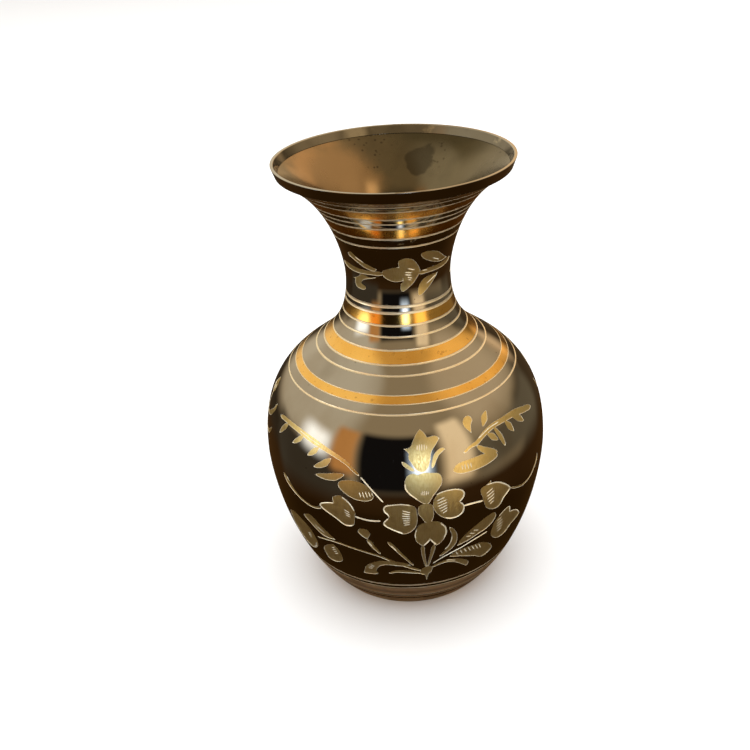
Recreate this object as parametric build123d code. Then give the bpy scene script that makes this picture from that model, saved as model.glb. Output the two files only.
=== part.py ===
"""Turned brass flower vase: flared mouth, narrow neck and round body.

The vase is a thin shell of revolution about Z that stands on the plane z = 0.
It is made as three shells and a base disc.  Each shell laps over the one below
in a half-wall step, and a thin film of solder fills every lap.  Fine lines are
turned into the outside of the shells.  All sizes are in millimetres.
"""
from build123d import *
import math
import os

# Radii of the outside, measured from the axis.
foot_radius = 39.0
belly_radius = 63.5
neck_radius = 22.2
lip_radius = 47.5
rim_radius = 49.0

# Heights of the outside, each measured from the one before.
belly_height = 70.2     # from the table to the widest girth
shoulder_rise = 80.6    # from the widest girth to the narrowest part of the neck
mouth_rise = 44.9       # from the narrowest part of the neck to the lip
lip_height = 4.3        # the upright band round the mouth

# How far each stretch of the outline holds on to its end direction.
foot_lean = (21.0, 25.1)
belly_hold_down = 8.0
belly_hold_up = 56.6
neck_hold_down = 43.0
neck_hold_up = 8.0
lip_lean = (20.4, 10.4)

# The metal and the joints.
wall = 1.4
solder_film = 0.1
lap = 3.0
neck_seam_drop = 16.6   # below the narrowest part of the neck
bead_reach = 1.2
bead_height = 0.5

# The lip: its top edge, its machined inner band and the step below that band.
rim_width = 1.3
band_inset = 1.7
band_height = 3.4
band_step = 0.25

# The foot: a narrow rim to stand on, a flange inside it, and the base disc.
foot_rim_width = 3.0
foot_recess = 1.2
disc_radius = 31.0
disc_thickness = 1.4
ledge_width = 1.5
ledge_thickness = 0.9

# Turned lines.  Each list is measured from its own landmark on the outline.
line_width = 0.8
line_depth = 0.12
foot_lines = (11.4, 19.8, 22.5)                                          # up from the table
shoulder_lines = (41.3, 38.4, 36.0, 30.9, 27.9, 23.4, 18.8)              # down from the neck
neck_lines = (14.6, 9.5, 6.8)                                            # down from the neck
mouth_lines = (24.7, 20.6, 15.5, 13.0, 10.5, 6.3, 3.3)                   # down from the lip

neck_height = belly_height + shoulder_rise
lip_base = neck_height + mouth_rise
top = lip_base + lip_height
belly_seam = belly_height
neck_seam = neck_height - neck_seam_drop
socket_depth = (wall - solder_film) / 2
spigot_depth = socket_depth + solder_film

# The outline as three cubic curves, each with four (radius, height) control points.
lower_curve = (
    (foot_radius, 0),
    (foot_radius + foot_lean[0], foot_lean[1]),
    (belly_radius, belly_height - belly_hold_down),
    (belly_radius, belly_height),
)
shoulder_curve = (
    (belly_radius, belly_height),
    (belly_radius, belly_height + belly_hold_up),
    (neck_radius, neck_height - neck_hold_down),
    (neck_radius, neck_height),
)
mouth_curve = (
    (neck_radius, neck_height),
    (neck_radius, neck_height + neck_hold_up),
    (lip_radius - lip_lean[0], lip_base - lip_lean[1]),
    (lip_radius, lip_base),
)


def on_curve(curve, t):
    """Point of a cubic curve at t, and its direction there."""
    s = 1 - t
    point = [s**3 * a + 3 * s * s * t * b + 3 * s * t * t * c + t**3 * d for a, b, c, d in zip(*curve)]
    along = [s * s * (b - a) + 2 * s * t * (c - b) + t * t * (d - c) for a, b, c, d in zip(*curve)]
    return point, along


def halve(low, high, too_low):
    """The value between low and high at which too_low turns false."""
    for _ in range(50):
        middle = (low + high) / 2
        if too_low(middle):
            low = middle
        else:
            high = middle
    return (low + high) / 2


def wall_point(height, depth):
    """Point at a depth in the wall, square in from the outside at a height."""
    if height <= belly_height:
        curve = lower_curve
    elif height <= neck_height:
        curve = shoulder_curve
    else:
        curve = mouth_curve
    t = halve(0, 1, lambda value: on_curve(curve, value)[0][1] < height)
    (radius, level), (across, up) = on_curve(curve, t)
    length = math.hypot(across, up)
    return radius - depth * up / length, level + depth * across / length


def to_space(point):
    """A (radius, height) pair as a point in the plane that is revolved."""
    return Vector(point[0], 0, point[1])


def straight(start, end):
    """Straight edge between two (radius, height) pairs."""
    return Line(to_space(start), to_space(end))


def along_wall(start, end, depth):
    """Smooth edge that follows the wall at one depth between two heights."""
    steps = max(3, round(abs(end - start) / 3))
    heights = [start + (end - start) * i / steps for i in range(steps + 1)]
    return Spline([to_space(wall_point(height, depth)) for height in heights])


def outside(start, end, lines):
    """Edges up the outside between two heights, dipping into each turned line."""
    edges = []
    height = start
    for line in sorted(lines):
        below = line - line_width / 2
        above = line + line_width / 2
        edges.append(along_wall(height, below, 0))
        edges.append(straight(wall_point(below, 0), wall_point(below, line_depth)))
        edges.append(straight(wall_point(below, line_depth), wall_point(above, line_depth)))
        edges.append(straight(wall_point(above, line_depth), wall_point(above, 0)))
        height = above
    edges.append(along_wall(height, end, 0))
    return edges


def path(points):
    """Straight edges through a list of (radius, height) pairs."""
    return [straight(a, b) for a, b in zip(points, points[1:])]


def spin(edges):
    """Solid of revolution of a closed ring of edges."""
    return revolve(make_face(edges), Axis.Z)


def spigot(seam):
    """The step at the top of a shell, from its outside to where the bead ends inside."""
    tip = seam + lap
    return [
        straight(wall_point(seam, 0), wall_point(seam, spigot_depth)),
        along_wall(seam, tip, spigot_depth),
        straight(wall_point(tip, spigot_depth), wall_point(tip, wall)),
        along_wall(tip, tip - bead_reach, wall),
    ]


def socket(seam):
    """The step at the bottom of a shell, from where the bead ends inside to its outside."""
    low = seam + solder_film
    high = low + lap
    return [
        along_wall(high + bead_reach, high, wall),
        straight(wall_point(high, wall), wall_point(high, socket_depth)),
        along_wall(high, low, socket_depth),
        straight(wall_point(low, socket_depth), wall_point(low, 0)),
    ]


def seam_solder(seam):
    """The solder that fills one lap, with its bead round the inside."""
    low = seam + solder_film
    tip = seam + lap
    high = tip + solder_film
    bead_top = wall_point(high + bead_reach, wall)
    bead_bottom = wall_point(tip - bead_reach, wall)
    bead_crest = wall_point((tip + high) / 2, wall + bead_height)
    return spin([
        straight(wall_point(seam, 0), wall_point(low, 0)),
        straight(wall_point(low, 0), wall_point(low, socket_depth)),
        along_wall(low, high, socket_depth),
        straight(wall_point(high, socket_depth), wall_point(high, wall)),
        along_wall(high, high + bead_reach, wall),
        ThreePointArc(to_space(bead_top), to_space(bead_crest), to_space(bead_bottom)),
        along_wall(tip - bead_reach, tip, wall),
        straight(wall_point(tip, wall), wall_point(tip, spigot_depth)),
        along_wall(tip, seam, spigot_depth),
        straight(wall_point(seam, spigot_depth), wall_point(seam, 0)),
    ])


def lower_body():
    """Bowl from the table to the widest girth, with the foot and its flange."""
    disc_top = foot_recess + disc_thickness
    ledge_bottom = disc_top + solder_film
    flange_top = ledge_bottom + ledge_thickness
    bore = disc_radius + solder_film
    inside_start = halve(0, belly_height, lambda value: wall_point(value, wall)[1] < flange_top)
    foot = path([
        wall_point(inside_start, wall),
        (disc_radius - ledge_width, flange_top),
        (disc_radius - ledge_width, ledge_bottom),
        (bore, ledge_bottom),
        (bore, foot_recess),
        (foot_radius - foot_rim_width, foot_recess),
        (foot_radius - foot_rim_width, 0),
        (foot_radius, 0),
    ])
    inside = along_wall(belly_seam + lap - bead_reach, inside_start, wall)
    return spin(outside(0, belly_seam, foot_lines) + spigot(belly_seam) + [inside] + foot)


def upper_body():
    """Shoulder from the widest girth up to the root of the neck."""
    low = belly_seam + solder_film
    lines = [neck_height - drop for drop in shoulder_lines]
    inside = along_wall(neck_seam + lap - bead_reach, low + lap + bead_reach, wall)
    return spin(outside(low, neck_seam, lines) + spigot(neck_seam) + [inside] + socket(belly_seam))


def mouth_and_neck():
    """Neck and flared mouth, up to the rim."""
    low = neck_seam + solder_film
    lines = [neck_height - drop for drop in neck_lines] + [lip_base - drop for drop in mouth_lines]
    band_top = (rim_radius - rim_width, top)
    band_bottom = (rim_radius - rim_width - band_inset, top - band_height)
    funnel_radius = band_bottom[0] + band_step
    funnel_end = halve(neck_height, lip_base, lambda value: wall_point(value, wall)[0] < funnel_radius)
    lip = path([
        wall_point(lip_base, 0),
        (rim_radius, top),
        band_top,
        band_bottom,
        wall_point(funnel_end, wall),
    ])
    inside = along_wall(funnel_end, low + lap + bead_reach, wall)
    return spin(outside(low, lip_base, lines) + lip + [inside] + socket(neck_seam))


def base_disc():
    """Plain disc that closes the bottom."""
    return Pos(0, 0, foot_recess + disc_thickness / 2) * Cylinder(disc_radius, disc_thickness)


def base_solder():
    """Solder round the edge of the base disc, with its bead underneath."""
    disc_top = foot_recess + disc_thickness
    film_top = disc_top + solder_film
    bore = disc_radius + solder_film
    middle = (disc_radius + bore) / 2
    bead = ThreePointArc(
        Vector(bore + bead_reach, 0, foot_recess),
        Vector(middle, 0, foot_recess - bead_height),
        Vector(disc_radius - bead_reach, 0, foot_recess),
    )
    ring = path([
        (disc_radius - bead_reach, foot_recess),
        (disc_radius, foot_recess),
        (disc_radius, disc_top),
        (disc_radius - ledge_width, disc_top),
        (disc_radius - ledge_width, film_top),
        (bore, film_top),
        (bore, foot_recess),
        (bore + bead_reach, foot_recess),
    ])
    return spin(ring + [bead])


os.makedirs("parts", exist_ok=True)
export_step(mouth_and_neck(), "parts/mouth_and_neck.step")
export_step(upper_body(), "parts/upper_body.step")
export_step(lower_body(), "parts/lower_body.step")
export_step(base_disc(), "parts/base_disc.step")
export_step(seam_solder(neck_seam), "parts/neck_solder.step")
export_step(seam_solder(belly_seam), "parts/belly_solder.step")
export_step(base_solder(), "parts/base_solder.step")
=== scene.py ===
import math

import bpy
import numpy as np
from mathutils import Matrix, Vector
from mathutils.geometry import delaunay_2d_cdt


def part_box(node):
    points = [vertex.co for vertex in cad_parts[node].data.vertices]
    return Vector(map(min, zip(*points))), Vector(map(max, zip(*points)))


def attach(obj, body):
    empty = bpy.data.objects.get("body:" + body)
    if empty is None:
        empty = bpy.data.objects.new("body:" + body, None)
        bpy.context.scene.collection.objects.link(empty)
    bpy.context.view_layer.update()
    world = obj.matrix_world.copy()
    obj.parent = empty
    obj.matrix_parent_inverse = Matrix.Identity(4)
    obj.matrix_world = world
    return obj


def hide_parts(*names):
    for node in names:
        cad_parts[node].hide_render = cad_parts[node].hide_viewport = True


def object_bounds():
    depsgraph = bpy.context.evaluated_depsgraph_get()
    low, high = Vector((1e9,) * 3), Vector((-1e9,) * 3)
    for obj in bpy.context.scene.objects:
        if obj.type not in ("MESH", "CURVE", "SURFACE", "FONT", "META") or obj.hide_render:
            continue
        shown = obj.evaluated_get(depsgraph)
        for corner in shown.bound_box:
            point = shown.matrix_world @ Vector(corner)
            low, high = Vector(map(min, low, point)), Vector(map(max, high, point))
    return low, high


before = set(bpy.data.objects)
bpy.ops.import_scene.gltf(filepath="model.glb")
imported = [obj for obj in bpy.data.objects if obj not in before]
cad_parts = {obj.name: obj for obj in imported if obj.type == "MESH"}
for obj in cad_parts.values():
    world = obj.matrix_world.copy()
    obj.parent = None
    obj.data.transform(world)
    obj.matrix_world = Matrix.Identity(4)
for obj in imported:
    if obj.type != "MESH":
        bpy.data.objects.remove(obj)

MM = 0.001
cad_low, cad_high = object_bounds()

# ---- outline of the vase

belly_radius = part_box("lower_body")[1].x / MM
belly_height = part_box("belly_solder")[0].z / MM
rim_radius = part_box("mouth_and_neck")[1].x / MM
top = cad_high.z / MM
disc_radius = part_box("base_disc")[1].x / MM
disc_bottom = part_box("base_disc")[0].z / MM
disc_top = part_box("base_disc")[1].z / MM

foot_radius = 39.0
foot_lean = (21.0, 25.1)
belly_hold_down = 8.0
belly_hold_up = 56.6
neck_radius = 22.2
neck_height = belly_height + 80.6
neck_hold_down = 43.0
neck_hold_up = 8.0
lip_radius = 47.5
lip_base = top - 4.3
lip_lean = (20.4, 10.4)
neck_seam = neck_height - 16.6

wall = 1.4
film = 0.1
lap = 3.0
socket_depth = (wall - film) / 2
spigot_depth = socket_depth + film
bead_reach = 1.2
bead_height = 0.5
rim_width = 1.3
band_inset = 1.7
band_height = 3.4
band_step = 0.25
edge_break = 0.25
foot_rim_width = 3.0
ledge_width = 1.5
ledge_thickness = 0.9


def cubic(points, count=1500):
    """Points of a cubic curve, evenly spread in its parameter."""
    a, b, c, d = (np.array(point, float) for point in points)
    t = np.linspace(0, 1, count)[:, None]
    return (1 - t) ** 3 * a + 3 * (1 - t) ** 2 * t * b + 3 * (1 - t) * t * t * c + t**3 * d


lower_curve = cubic((
    (foot_radius, 0),
    (foot_radius + foot_lean[0], foot_lean[1]),
    (belly_radius, belly_height - belly_hold_down),
    (belly_radius, belly_height),
))
shoulder_curve = cubic((
    (belly_radius, belly_height),
    (belly_radius, belly_height + belly_hold_up),
    (neck_radius, neck_height - neck_hold_down),
    (neck_radius, neck_height),
))
mouth_curve = cubic((
    (neck_radius, neck_height),
    (neck_radius, neck_height + neck_hold_up),
    (lip_radius - lip_lean[0], lip_base - lip_lean[1]),
    (lip_radius, lip_base),
))
outline = np.vstack([lower_curve, shoulder_curve[1:], mouth_curve[1:]])
outline_arc = np.concatenate([[0], np.cumsum(np.hypot(*np.diff(outline, axis=0).T))])
outline_slope = np.gradient(outline, outline_arc, axis=0)
outline_slope /= np.hypot(*outline_slope.T)[:, None]


def arc_at(height):
    """Distance along the outline, from the foot, to a height."""
    return float(np.interp(height, outline[:, 1], outline_arc))


def quarter(way):
    """A direction turned clockwise by 90 degrees."""
    return np.stack([way[..., 1], -way[..., 0]], -1)


def wall_at(arc, depth=0.0):
    """(radius, height) of points at a depth in the wall, and the outward direction there."""
    radius, height, across, up = (
        np.interp(arc, outline_arc, values) for values in (*outline.T, *outline_slope.T)
    )
    spots = np.stack([radius - depth * up, height + depth * across], -1)
    return spots, np.stack([up, -across], -1)


def round_axis(pairs, degrees):
    """Points or directions in space, from (radius, height) pairs and angles."""
    angle = np.radians(degrees)
    radius, height = pairs[..., 0], pairs[..., 1]
    return np.stack([radius * np.sin(angle), -radius * np.cos(angle), height + 0 * angle], -1)


# ---- faces, and the meshes made of them

FIRST_COLUMN = -100.0
COLUMNS = FIRST_COLUMN + np.arange(361.0)
BLACK, GILT, LINE, SCRAPED, CUT, SATIN, SMOKED, DULL, RAW = range(9)
WELD = 0.0002           # corners that round to the same step of this size are one
PLACES = 2**21          # steps in each direction
WALL_ROW = 2.5          # widest row of faces on a plain wall
LINE_ROW = 1.6          # widest row between turned lines
LINE_DEPTH = 0.12


class Relief:
    """Faces with a direction and a finish at each corner, joined into one mesh at the end."""

    def __init__(self):
        self.faces = []

    def add(self, corners, outward, finish):
        """Faces as a (face, corner, xyz) array in millimetres, turned to face the way they should."""
        corners, outward = np.array(corners, float), np.array(outward, float)
        across = np.cross(corners[:, 1] - corners[:, 0], corners[:, 2] - corners[:, 0])
        across += np.cross(corners[:, -2] - corners[:, 0], corners[:, -1] - corners[:, 0])
        backward = (across * outward.mean(1)).sum(1) < 0
        corners[backward] = corners[backward, ::-1]
        outward[backward] = outward[backward, ::-1]
        self.faces.append((corners, outward, np.broadcast_to(finish, len(corners))))

    def build(self, name, finishes):
        """The Blender object, with its corners welded and its own corner directions."""
        points = np.vstack([corners.reshape(-1, 3) for corners, _, _ in self.faces])
        outward = np.vstack([directions.reshape(-1, 3) for _, directions, _ in self.faces])
        used, finish = np.unique(
            np.concatenate([finish for _, _, finish in self.faces]), return_inverse=True
        )
        place = np.round(points / WELD).astype(np.int64) + PLACES // 2
        key = (place[:, 0] * PLACES + place[:, 1]) * PLACES + place[:, 2]
        _, first, number = np.unique(key, return_index=True, return_inverse=True)
        rings, start = [], 0
        for corners, _, _ in self.faces:
            end = start + corners.shape[0] * corners.shape[1]
            rings += number[start:end].reshape(corners.shape[:2]).tolist()
            start = end
        mesh = bpy.data.meshes.new(name)
        mesh.from_pydata((points[first] * MM).tolist(), [], rings)
        mesh.polygons.foreach_set("material_index", finish.astype(np.int32))
        mesh.polygons.foreach_set("use_smooth", np.ones(len(rings), bool))
        for kind in used:
            mesh.materials.append(finishes[kind])
        mesh.normals_split_custom_set(outward.tolist())
        return put(name, mesh)


def put(name, data):
    """A new object in the scene."""
    made = bpy.data.objects.new(name, data)
    bpy.context.scene.collection.objects.link(made)
    return made


def turn(relief, spots, outward, finish):
    """Surface of revolution through rows of (radius, height), smooth from row to row."""
    grids = []
    for pairs in (spots, outward):
        grid = round_axis(np.asarray(pairs, float)[:, None], COLUMNS[None])
        grid[:, -1] = grid[:, 0]
        quads = np.stack([grid[:-1, :-1], grid[:-1, 1:], grid[1:, 1:], grid[1:, :-1]], 2)
        grids.append(quads.reshape(-1, 4, 3))
    relief.add(*grids, finish)


def turn_flat(relief, spots, finish=RAW):
    """Surface of revolution with a crisp edge at each row; the metal is on the left of the path."""
    for start, end in zip(spots, spots[1:]):
        step = np.subtract(end, start)
        facing = quarter(step) / np.hypot(*step)
        turn(relief, [start, end], [facing, facing], finish)


def turn_wall(relief, start, end, depth, finish=RAW, inner=False):
    """Surface at one depth in the wall between two arcs, facing out, or in where it is inner."""
    rows = int((end - start) / WALL_ROW) + 2
    spots, outward = wall_at(np.linspace(start, end, rows), depth)
    turn(relief, spots, -outward if inner else outward, finish)


def turn_lines(relief, start, end, lines, bands):
    """Outside between two arcs, with lines (centre, width) and bands (low, high, finish)."""
    place = start
    for centre, width in lines + [(end, 0)]:
        low, high = centre - width / 2, centre + width / 2
        edges = [place, low] + [edge for band in bands for edge in band[:2] if place < edge < low]
        for a, b in zip(sorted(edges), sorted(edges)[1:]):
            under = [kind for floor, roof, kind in bands if floor < (a + b) / 2 < roof]
            rows = int((b - a) / LINE_ROW) + 2
            turn(relief, *wall_at(np.linspace(a, b, rows)), (under + [BLACK])[0])
        if width:
            across = np.linspace(-1, 1, 7)
            spots, outward = wall_at(centre + across * width / 2, LINE_DEPTH * (1 - across**2))
            slope = (4 * LINE_DEPTH / width * across)[:, None]
            turn(relief, spots, outward + slope * quarter(outward), LINE)
        place = high


def zip_ring(relief, edge, depth, seam, facing, finish):
    """Ring from an engraved edge of (degrees, depth) pairs to the plain columns at one depth."""
    inner = np.stack([COLUMNS, np.full(len(COLUMNS), depth)], -1)
    i, j, corners = 0, 0, []
    while i < len(edge) - 1 or j < len(inner) - 1:
        if j == len(inner) - 1 or (i < len(edge) - 1 and edge[i + 1, 0] <= inner[j + 1, 0]):
            corners.append((edge[i], edge[i + 1], inner[j]))
            i += 1
        else:
            corners.append((edge[i], inner[j + 1], inner[j]))
            j += 1
    corners = np.array(corners)
    spots, outward = wall_at(np.full(corners.shape[:2], arc_at(seam)), corners[..., 1])
    along = -facing * quarter(outward)
    relief.add(round_axis(spots, corners[..., 0]), round_axis(along, corners[..., 0]), finish)


# ---- engraving
# A shape is a ring of points in a flat plan: across is millimetres round the vase, up is the arc.

FLOOR = 0.10            # depth of a scraped leaf, and the width of its sloping edge
CUT_SLOPE = 0.6
CUT_LIMIT = 0.22
CUT_ROW = 2.4           # rows of plain points between the shapes
CLEAR = 0.4             # plain points stay this far from a shape
SEAM_CLEAR = 0.6
LEVEL = 0.03            # a face that dips less than this is shaded as flat ground


def smooth(points, corners=(), closed=False, step=0.6):
    """Smooth line through points, with a sharp turn at each corner."""
    points = np.array(points, float)
    count = len(points)
    line = []
    for i in range(count if closed else count - 1):
        a, b = points[i], points[(i + 1) % count]
        before, after = points[i - 1], points[(i + 2) % count]
        if i in corners or (i == 0 and not closed):
            before = 2 * a - b
        if (i + 1) % count in corners or (i == count - 2 and not closed):
            after = 2 * b - a
        steps = max(1, round(float(np.hypot(*(b - a))) / step))
        for t in np.arange(steps) / steps:
            line.append(0.5 * (2 * a + (b - before) * t + (2 * before - 5 * a + 4 * b - after) * t * t
                               + (3 * a - before - 3 * b + after) * t**3))
    if not closed:
        line.append(points[-1])
    return np.array(line)


def normals_of(line, closed):
    """Unit direction to the right of a line at each of its points."""
    if closed:
        along = np.roll(line, -1, 0) - np.roll(line, 1, 0)
    else:
        along = np.gradient(line, axis=0)
    return quarter(along / np.maximum(np.hypot(*along.T), 1e-9)[:, None])


def ribbon(points, widths, scale, step=0.6):
    """Ring round a stroke of the graver and its centre line; widths are shared out along it."""
    line = smooth(np.array(points, float) * (scale, 1), step=step)
    far = np.concatenate([[0], np.cumsum(np.hypot(*np.diff(line, axis=0).T))])
    width = np.interp(far / far[-1], np.linspace(0, 1, len(widths)), widths)
    reach = np.minimum(far, far[-1] - far)
    half = width / 2 * np.clip(np.sqrt(reach / np.maximum(width, 0.3)), 0.06, 1)
    side = normals_of(line, False) * half[:, None]
    return np.vstack([line + side, (line - side)[::-1]]), line


def inside_distance(points, ring):
    """Distance from points to a ring, positive for those inside it."""
    start, end = ring, np.roll(ring, -1, 0)
    across = end - start
    offset = points[:, None] - start
    share = (offset * across).sum(-1) / np.maximum((across**2).sum(-1), 1e-12)
    gap = np.hypot(*np.moveaxis(offset - np.clip(share, 0, 1)[..., None] * across, 2, 0)).min(1)
    beside = (start[:, 1] > points[:, 1, None]) != (end[:, 1] > points[:, 1, None])
    rise = np.where(across[:, 1] == 0, 1, across[:, 1])
    crossing = start[:, 0] + offset[..., 1] / rise * across[:, 0]
    odd = (beside & (points[:, 0, None] < crossing)).sum(1) % 2 == 1
    return np.where(odd, gap, -gap)


def deepest(points, rings, margin=0.0):
    """Greatest inside distance to any of the rings, at each point, no less than -margin."""
    result = np.full(len(points), -margin)
    for ring in rings:
        low, high = ring.min(0) - margin, ring.max(0) + margin
        near = ((points >= low) & (points <= high)).all(1).nonzero()[0]
        if len(near):
            result[near] = np.maximum(result[near], inside_distance(points[near], ring))
    return result


def carve(below, above, motif, scale, first, low, high, seam=None):
    """Engraves a motif between two arcs, over half a turn, and repeats it opposite."""
    leaves, strokes, cuts = motif
    floors, dashes, points, edges = [], [], [], []

    def draw(line, closed=False):
        """Edges along a line, which the triangles then keep to."""
        start = len(points)
        points.extend(line.tolist())
        steps = [(start + i, start + i + 1) for i in range(len(line) - 1)]
        edges.extend(steps + ([(start + len(line) - 1, start)] if closed else []))

    for ring_points, corners in leaves:
        floors.append(smooth(np.array(ring_points, float) * (scale, 1), corners, closed=True))
    for stroke, widths in strokes:
        floors.append(ribbon(stroke, widths, scale)[0])
    for ring in floors:
        draw(ring, closed=True)
        side = normals_of(ring, True) * FLOOR
        inward = side if inside_distance(ring[:1] + side[:1] / 2, ring)[0] > 0 else -side
        inner = ring + inward
        draw(inner[inside_distance(inner, ring) > 0.6 * FLOOR])
    for stroke, width in cuts:
        ring, line = ribbon(stroke, (width,), scale, step=0.7)
        dashes.append(ring)
        draw(ring, closed=True)
        draw(line)

    across = np.arange(first, first + 181.0)
    rows = np.linspace(low, high, round((high - low) / CUT_ROW) + 1)
    for arc in (low, high) + ((seam,) if seam else ()):
        draw(np.stack([across * scale, np.full(len(across), arc)], -1))
    for side in (across[0], across[-1]):
        draw(np.stack([np.full(len(rows), side * scale), rows], -1))
    grid = np.array([
        (x * scale, y) for i, y in enumerate(rows[1:-1]) for x in across[2 - i % 2:-2:2]
    ])
    grid = grid[deepest(grid, floors + dashes, CLEAR) <= -CLEAR]
    if seam:
        grid = grid[abs(grid[:, 1] - seam) > SEAM_CLEAR]
    points += grid.tolist()

    found = delaunay_2d_cdt([Vector(point) for point in points], edges, [], 0, 1e-4, False)
    plan = np.array([tuple(point) for point in found[0]])
    faces = np.array(found[2])
    floor_depth = FLOOR * np.clip(deepest(plan, floors) / FLOOR, 0, 1)
    cut_depth = np.clip(CUT_SLOPE * deepest(plan, dashes), 0, CUT_LIMIT)
    middle = plan[faces].mean(1)
    finish = np.where(deepest(middle, floors) > 0, SCRAPED, BLACK)
    finish[deepest(middle, dashes) > 0] = CUT
    depth = (floor_depth + cut_depth)[faces]
    level = (finish == BLACK) | ((finish == SCRAPED) & (np.ptp(depth, axis=1) < LEVEL))
    finish[(finish == SCRAPED) & ~level] = CUT
    for turned in (0, 180):
        degrees = plan[faces][..., 0] / scale + turned
        dip = np.where((finish == BLACK)[:, None], 0, depth)
        spots, outward = wall_at(plan[faces][..., 1], dip)
        corners, facing = round_axis(spots, degrees), round_axis(outward, degrees)
        square = np.cross(corners[:, 1] - corners[:, 0], corners[:, 2] - corners[:, 0])
        size = np.sqrt((square**2).sum(-1))
        turned_out = np.sign((square * facing[:, 0]).sum(-1))
        square *= (turned_out / np.maximum(size, 1e-12))[:, None]
        facing = np.where(level[:, None, None], facing, square[:, None])
        keep = size > 1e-9
        lower = middle[:, 1] < (seam or high)
        for relief, part in ((below, keep & lower), (above, keep & ~lower)):
            if part.any():
                relief.add(corners[part], facing[part], finish[part])
    if seam:
        on = (abs(plan[:, 1] - seam) < 1e-4).nonzero()[0]
        edge = np.stack([plan[on, 0] / scale, (floor_depth + cut_depth)[on]], -1)
        edge = edge[np.argsort(edge[:, 0])]
        return np.vstack([edge, edge[1:] + (180, 0)])


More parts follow.
